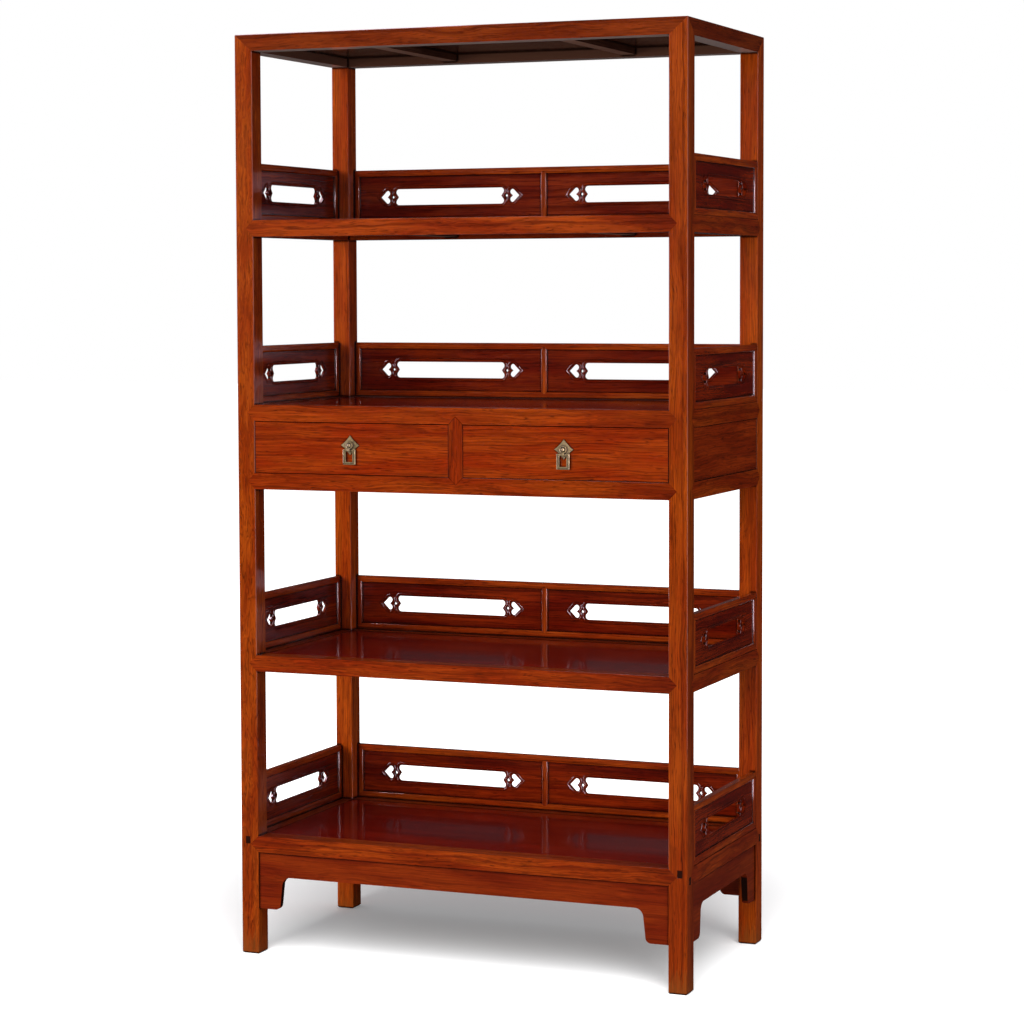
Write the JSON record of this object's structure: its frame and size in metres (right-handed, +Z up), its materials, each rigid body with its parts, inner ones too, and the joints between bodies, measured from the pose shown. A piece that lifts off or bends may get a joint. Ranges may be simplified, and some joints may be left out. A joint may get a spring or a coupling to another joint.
{
  "type": "open bookshelf",
  "caption": "Tall open bookshelf with square posts, framed shelves, low pierced galleries, bracketed aprons and a case of drawers with hanging bails.",
  "frame": {"origin": "middle of the footprint on the floor, drawer pulls included", "axes": "+X to the right seen from the front, +Y to the back, +Z up"},
  "size_m": [0.925, 0.478, 1.8],
  "materials": {
    "frame_hardwood": "oiled and waxed rosewood, orange brown with dark streaks",
    "panel_hardwood": "polished dark red brown",
    "gallery_hardwood": "polished red brown with thumb-moulded edges",
    "drawer_lining_wood": "planed and left bare",
    "aged_brass": "darkened with age, worn bright on its edges"
  },
  "bodies": {
    "root": {"apron_front": "frame_hardwood", "apron_rear": "frame_hardwood", "apron_sides": "frame_hardwood", "battens": "panel_hardwood", "bottom_front_rail": "frame_hardwood", "bottom_gallery_back_frame": "gallery_hardwood", "bottom_gallery_panels": "gallery_hardwood", "bottom_gallery_side_frames": "gallery_hardwood", "bottom_panel": "panel_hardwood", "bottom_rear_rail": "frame_hardwood", "bottom_side_rails": "frame_hardwood", "case_back_panel": "panel_hardwood", "case_side_panels": "panel_hardwood", "case_top_front_rail": "frame_hardwood", "case_top_gallery_back_frame": "gallery_hardwood", "case_top_gallery_panels": "gallery_hardwood", "case_top_gallery_side_frames": "gallery_hardwood", "case_top_panel": "panel_hardwood", "case_top_rear_rail": "frame_hardwood", "case_top_side_rails": "frame_hardwood", "centre_stile": "frame_hardwood", "drawer_floor_front_rail": "frame_hardwood", "drawer_floor_rear_rail": "frame_hardwood", "drawer_floor_side_rails": "frame_hardwood", "drawer_tracks": "drawer_lining_wood", "dust_board": "drawer_lining_wood", "middle_front_rail": "frame_hardwood", "middle_gallery_back_frame": "gallery_hardwood", "middle_gallery_panels": "gallery_hardwood", "middle_gallery_side_frames": "gallery_hardwood", "middle_panel": "panel_hardwood", "middle_rear_rail": "frame_hardwood", "middle_side_rails": "frame_hardwood", "post_front_left": "frame_hardwood", "post_front_right": "frame_hardwood", "post_rear_left": "frame_hardwood", "post_rear_right": "frame_hardwood", "top_front_rail": "frame_hardwood", "top_panel": "panel_hardwood", "top_rear_rail": "frame_hardwood", "top_side_rails": "frame_hardwood", "upper_front_rail": "frame_hardwood", "upper_gallery_back_frame": "gallery_hardwood", "upper_gallery_panels": "gallery_hardwood", "upper_gallery_side_frames": "gallery_hardwood", "upper_panel": "panel_hardwood", "upper_rear_rail": "frame_hardwood", "upper_side_rails": "frame_hardwood"},
    "drawer_left": {"drawer_bottom_left": "drawer_lining_wood", "drawer_box_left": "drawer_lining_wood", "drawer_front_left": "frame_hardwood", "pull_pin_left": "aged_brass", "pull_plate_left": "aged_brass"},
    "drawer_right": {"drawer_bottom_right": "drawer_lining_wood", "drawer_box_right": "drawer_lining_wood", "drawer_front_right": "frame_hardwood", "pull_pin_right": "aged_brass", "pull_plate_right": "aged_brass"},
    "bail_left": {"bail_left": "aged_brass"},
    "bail_right": {"bail_right": "aged_brass"}
  },
  "joints": [
    {"name": "drawer_left_slide", "type": "slide", "parent": "root", "child": "drawer_left", "axis": [0, -1, 0], "range_m": [0, 0.32]},
    {"name": "drawer_right_slide", "type": "slide", "parent": "root", "child": "drawer_right", "axis": [0, -1, 0], "range_m": [0, 0.32]},
    {"name": "bail_left_swing", "type": "hinge", "parent": "drawer_left", "child": "bail_left", "pos_m": [-0.22, -0.236, 0.9985], "axis": [-1, 0, 0], "range_deg": [0, 150]},
    {"name": "bail_right_swing", "type": "hinge", "parent": "drawer_right", "child": "bail_right", "pos_m": [0.22, -0.236, 0.9985], "axis": [-1, 0, 0], "range_deg": [0, 150]}
  ]
}
